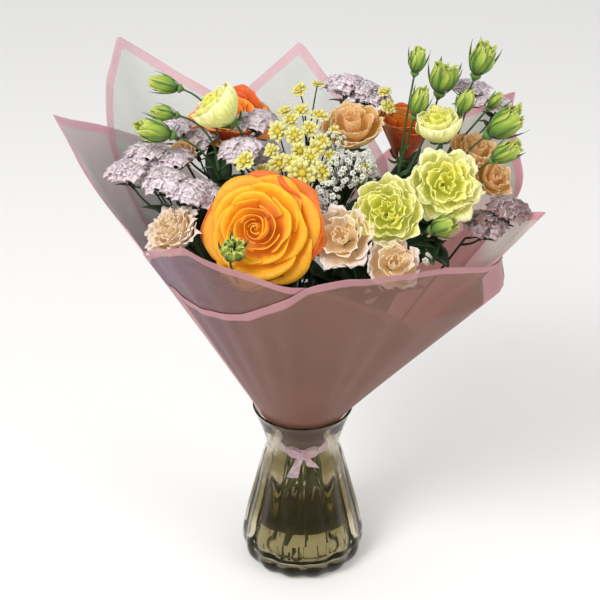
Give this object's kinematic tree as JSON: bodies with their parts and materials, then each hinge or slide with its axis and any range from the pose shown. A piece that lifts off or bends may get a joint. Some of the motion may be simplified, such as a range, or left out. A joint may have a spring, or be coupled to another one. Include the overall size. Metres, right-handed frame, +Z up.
{
  "type": "mixed flower bouquet",
  "caption": "Hand-tied mixed bouquet of roses, lisianthus, statice and small daisies, wrapped in pale bordered film and standing in a fluted glass vase of water.",
  "frame": {"origin": "centre of the vase's flat underside, on the surface it stands on", "axes": "+Z up, the bouquet's front faces -Y, +X to the right seen from the front"},
  "size_m": [0.468, 0.3578, 0.5749],
  "materials": {
    "smoked_glass": "pressed clear glass with a smoky olive tint, polished",
    "water": "clear still water",
    "pale_film": "frosted see-through film with a pink border",
    "lilac_ribbon": "shiny gift ribbon",
    "green_tie": "paper-covered florist tie",
    "orange_rose_petal": "velvety petal",
    "red_orange_rose_petal": "velvety petal",
    "yellow_petal": "thin matt petal",
    "cream_petal": "thin matt petal",
    "apricot_petal": "thin matt petal",
    "green_stem": "fresh stems, leaves and buds",
    "lilac_statice": "dry papery florets",
    "yellow_santini": "small daisies",
    "white_gypsophila": "tiny white double flowers"
  },
  "bodies": {
    "root": {"vase": "smoked_glass", "water": "water", "stem_tie": "green_tie", "ribbon_bow": "lilac_ribbon", "wrap_back": "pale_film", "wrap_back_left": "pale_film", "wrap_back_right": "pale_film", "wrap_left": "pale_film", "wrap_right": "pale_film", "wrap_front_left": "pale_film", "wrap_front_right": "pale_film", "rose_front_bloom": "orange_rose_petal", "rose_left_bloom": "red_orange_rose_petal", "rose_right_bloom": "red_orange_rose_petal", "lisianthus_left_bloom": "yellow_petal", "lisianthus_centre_bloom": "yellow_petal", "lisianthus_right_bloom": "yellow_petal", "lisianthus_back_bloom": "yellow_petal", "peach_front_left_bloom": "cream_petal", "peach_front_right_bloom": "cream_petal", "peach_left_bloom": "cream_petal", "peach_back_bloom": "apricot_petal", "peach_right_bloom": "apricot_petal", "peach_right_low_bloom": "apricot_petal", "peach_small_bloom": "apricot_petal", "rose_front_stem": "green_stem", "rose_left_stem": "green_stem", "rose_right_stem": "green_stem", "lisianthus_left_stem": "green_stem", "lisianthus_centre_stem": "green_stem", "lisianthus_right_stem": "green_stem", "lisianthus_back_stem": "green_stem", "lisianthus_front_stem": "green_stem", "peach_front_stem": "green_stem", "peach_left_stem": "green_stem", "peach_back_stem": "green_stem", "peach_right_stem": "green_stem", "peach_small_stem": "green_stem", "statice_left": "lilac_statice", "statice_middle_left": "lilac_statice", "statice_centre": "lilac_statice", "statice_back": "lilac_statice", "statice_back_right": "lilac_statice", "statice_right": "lilac_statice", "santini_front": "yellow_santini", "santini_back": "yellow_santini", "gypsophila": "white_gypsophila"}
  },
  "joints": []
}
